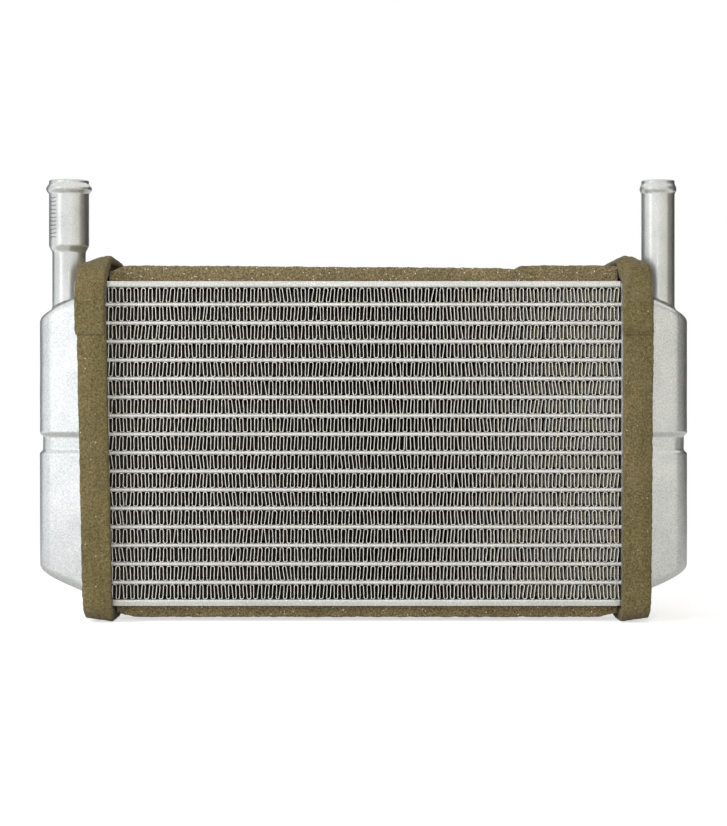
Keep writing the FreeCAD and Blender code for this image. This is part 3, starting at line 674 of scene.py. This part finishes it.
def pressed(at, normal):
    # behind its outer rim the lap is pressed on the header and on the strap's end, so that no
    # light comes through
    x, y, z = at
    front, ledge = press["front"], press["ledge"]
    rising = smoothStep(press["from"], press["from"] + press["blend"], abs(x))
    falling = smoothStep(press["to"] - press["blend"], press["to"], abs(x))
    inner = float(rising * (1 - falling))
    facesDown = normal.z < -0.25
    if facesDown and z > press["under"]:
        before = 1 - float(smoothStep(press["strapEnd"] - 1.1, press["strapEnd"], y))
        z -= inner * before * (z - press["top"])
    elif facesDown and y < front and abs(z - ledge - 1) < press["ledgeNear"]:
        z -= inner * (z - ledge)
    if normal.y > 0.35 and front - press["frontDeep"] < y < front and ledge - 0.5 < z < press["frontTop"]:
        y += inner * (front - 0.1 - y)
    return Vector((x, y, z))


def lapShape(side):
    # the lap's front thins out to a faint seam, and the right one is folded over its inner side
    def shape(at, normal):
        at = crowned(side, pressed(at, normal))
        down = float(smoothStep(0, 1, (folds["lapTop"] - at.z) / (folds["lapTop"] - folds["lapEnd"])))
        x, y, z = at
        if y < -folds["front"]:
            z -= folds["lapLonger"] * down
            if y < -folds["lapBack"]:
                y = -folds["lapBack"] + (y + folds["lapBack"]) * (1 - (1 - folds["lapThin"]) * down)
        if side > 0 and y < -folds["creaseFront"]:
            crease = folds["creaseX"] - folds["creaseLean"] * (folds["creaseZ"] - z)
            near = float(smoothStep(folds["creaseFront"], folds["creaseFull"], -y))
            inside = max(crease - x, 0)
            tuck = (1 - float(smoothStep(*folds["tuckEnd"], z))) * float(smoothStep(*folds["tuckStart"], z))
            deep = near * float(smoothStep(*folds["creaseStart"], z))
            x += folds["creaseTuck"] * inside * near * tuck
            y += min(folds["creaseDepth"] * inside, folds["creaseMost"]) * deep
        return Vector((x, y, z))
    return shape


def topStripShape(at, normal):
    # both pieces meet in a soft ramp, and the left end dips under the lap
    rise = max(at.z - joint["seat"], 0) / joint["height"]
    x, z = at.x, at.z
    if x > joint["at"]:
        x -= joint["back"] * (1 - float(smoothStep(joint["at"], joint["at"] + joint["reach"], x)))
        past = x - joint["at"] + joint["back"]
        z -= joint["rise"] * rise * (1 - float(smoothStep(0, joint["ramp"], past)))
    elif x > joint["at"] - joint["reach"]:
        x -= joint["longBack"] * float(smoothStep(joint["at"] - joint["reach"], joint["at"], x))
    z -= joint["leftDrop"] * rise * (1 - float(smoothStep(0, joint["leftRun"], x - joint["leftEnd"])))
    return Vector((x, at.y, z))


for side, end in ((-1, "left"), (1, "right")):
    foamPiece(f"foamStrap_{end}", f"strap_{end}", "strap_foam", strapFoam, strapShape(side))
    foamPiece(f"foamLap_{end}", f"strap_{end}_lap", "strap_foam", strapFoam, lapShape(side))
foamPiece("topFoam_long", "top_foam_long", "strip_foam", stripFoam, topStripShape)
foamPiece("topFoam_short", "top_foam_short", "strip_foam", stripFoam, topStripShape)
foamPiece("bottomFoam", "bottom_foam", "strip_foam", stripFoam)
print("foam made")

studio = {
    "floor": 12.0, "floorColour": "#f4f4f2", "floorGlow": 0.6, "fadeFrom": 0.3, "fadeTo": 0.9, "world": 0.47}
# the room's shades from the left to the right
skyStops = [
    (0.0, "#9fa4a8"), (0.18, "#c3c8cc"), (0.45, "#bfc1c2"), (0.68, "#97958f"), (0.88, "#4b4842"),
    (1.0, "#3a3833")]


def seenRay(tree):
    # 1 for what the camera sees by itself, in a reflection or through glass
    path = addNode(tree, "ShaderNodeLightPath").outputs
    direct = addNode(tree, "ShaderNodeMath", {
        0: path["Is Camera Ray"], 1: path["Is Glossy Ray"]}, operation="MAXIMUM")
    return addNode(tree, "ShaderNodeMath", {0: direct, 1: path["Is Transmission Ray"]}, operation="MAXIMUM")


bpy.ops.mesh.primitive_plane_add(size=studio["floor"], location=(0, 0, -0.0002))
floor = bpy.context.object
floor.name = "floor"
material, tree, shader = newMaterial("paleFloor", Roughness=0.9)
shader.inputs["Base Color"].default_value = srgb(studio["floorColour"])
shader.inputs["Specular IOR Level"].default_value = 0.1
place = addNode(tree, "ShaderNodeTexCoord").outputs["Object"]
distance = addNode(tree, "ShaderNodeVectorMath", {0: place}, operation="LENGTH")
fade = addNode(tree, "ShaderNodeMapRange", {
    "Value": distance.outputs["Value"], "From Min": studio["fadeFrom"], "From Max": studio["fadeTo"]})
white = addNode(tree, "ShaderNodeEmission", {"Color": (1, 1, 1, 1), "Strength": 1.0})
part = addNode(tree, "ShaderNodeEmission", {"Color": (1, 1, 1, 1), "Strength": studio["floorGlow"]})
lit = addNode(tree, "ShaderNodeAddShader", {0: shader.outputs[0], 1: part})
seen = addNode(tree, "ShaderNodeMixShader", {0: fade, 1: lit, 2: white})
mixed = addNode(tree, "ShaderNodeMixShader", {0: seenRay(tree), 1: shader.outputs[0], 2: seen})
tree.links.new(mixed.outputs[0], tree.nodes["Material Output"].inputs[0])
floor.data.materials.append(material)

scene = bpy.context.scene
world = bpy.data.worlds.new("studio")
scene.world = world
world.use_nodes = True
tree = world.node_tree
tree.nodes.clear()
way = addNode(tree, "ShaderNodeTexCoord").outputs["Generated"]
across = addNode(tree, "ShaderNodeMapRange", {
    "Value": addNode(tree, "ShaderNodeSeparateXYZ", {0: way}), "From Min": -1.0, "From Max": 1.0})
ramp = addNode(tree, "ShaderNodeValToRGB", {0: across})
while len(ramp.color_ramp.elements) < len(skyStops):
    ramp.color_ramp.elements.new(0.5)
for element, (at, colour) in zip(ramp.color_ramp.elements, skyStops):
    element.position = at
    element.color = srgb(colour)
soft = addNode(tree, "ShaderNodeBackground", {"Color": ramp.outputs[0], "Strength": studio["world"]})
plain = addNode(tree, "ShaderNodeBackground", {"Color": (1, 1, 1, 1), "Strength": 1.0})
seen = addNode(tree, "ShaderNodeMixShader", {0: seenRay(tree), 1: soft, 2: plain})
addNode(tree, "ShaderNodeOutputWorld", {0: seen})


def areaLamp(name, watts, wide, tall, place, colour):
    lamp = bpy.data.lights.new(name, "AREA")
    lamp.shape = "RECTANGLE"
    lamp.energy = watts
    lamp.size = wide
    lamp.size_y = tall
    lamp.color = srgb(colour)[:3]
    holder = bpy.data.objects.new(name, lamp)
    scene.collection.objects.link(holder)
    holder.location = place
    aim = Vector((0, 0, 0.09)) - Vector(place)
    holder.rotation_euler = aim.to_track_quat("-Z", "Y").to_euler()
    holder.visible_glossy = name == "softBox"    # metal mirrors the cards and this lamp alone


# watts, width, height, place and colour
lamps = {
    "frontLamp": (5.7, 0.08, 0.5, (-0.06, -1.2, 0.32), "#fdfcf8"),
    "keyLamp": (8.5, 0.6, 0.6, (-0.95, -0.7, 0.65), "#f3f7ff"),
    "softBox": (0.55, 0.22, 0.7, (-0.98, -0.7, 0.25), "#f6f9ff"),
    "topLamp": (2.7, 0.8, 0.5, (-0.1, -0.25, 1.2), "#ffffff"),
    "backLamp": (2.5, 0.6, 0.6, (0.25, 1.3, 0.5), "#ffffff"),
    "fillLamp": (1.1, 0.5, 0.5, (1.1, 0.0, 0.5), "#ffe9cc")}
for name, values in lamps.items():
    areaLamp(name, *values)

cards = {"away": 0.8, "high": 0.6, "floorHalf": 0.45, "floorLow": -0.0001, "floorColour": "#c4c2bd"}
# first bearing, last bearing and colour
wallCards = {
    "rightFrontCard": (20, 67, "#f0ede4"), "rightCard": (67, 98, "#6a6864"),
    "rightBackCard": (98, 134, "#161412"), "rightFarCard": (134, 172, "#100f0e"),
    "leftFarCard": (190, 222, "#191b1c"), "leftBackCard": (222, 250, "#5a5d60"),
    "leftCard": (250, 290, "#eaeef0")}

def studioCard(name, corners, colour):
    # only metal shows a card
    material, tree, shader = newMaterial(name)
    glow = addNode(tree, "ShaderNodeEmission", {"Color": srgb(colour), "Strength": 1.0})
    tree.links.new(glow.outputs[0], tree.nodes["Material Output"].inputs[0])
    card = meshPiece(name, corners, [(0, 1, 2, 3)], material, smooth=False)
    card.visible_camera = False
    card.visible_shadow = False
    card.visible_diffuse = False
    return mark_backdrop(card)


def wallCard(name, start, end, colour):
    # stands round the set from one bearing to another: 0 is the front, 90 the right
    away, high = cards["away"], cards["high"]
    (x, y), (farX, farY) = [
        (away * math.sin(math.radians(b)), -away * math.cos(math.radians(b))) for b in (start, end)]
    return studioCard(name, [(x, y, 0), (farX, farY, 0), (farX, farY, high), (x, y, high)], colour)


for name, values in wallCards.items():
    wallCard(name, *values)
half, low = cards["floorHalf"], cards["floorLow"]
studioCard("floorCard", [(-half, -half, low), (half, -half, low), (half, half, low), (-half, half, low)],
           cards["floorColour"])

view = {"height": 0.098, "away": 1.15, "lens": 105.0}
camera = bpy.data.cameras.new("camera")
camera.lens = view["lens"]
camera.sensor_width = 36
holder = bpy.data.objects.new("camera", camera)
scene.collection.objects.link(holder)
holder.location = (0, -view["away"], view["height"])
holder.rotation_euler = (math.pi / 2, 0, 0)
scene.camera = holder
scene.view_settings.view_transform = "Standard"
scene.cycles.max_bounces = 6
print("studio ready")
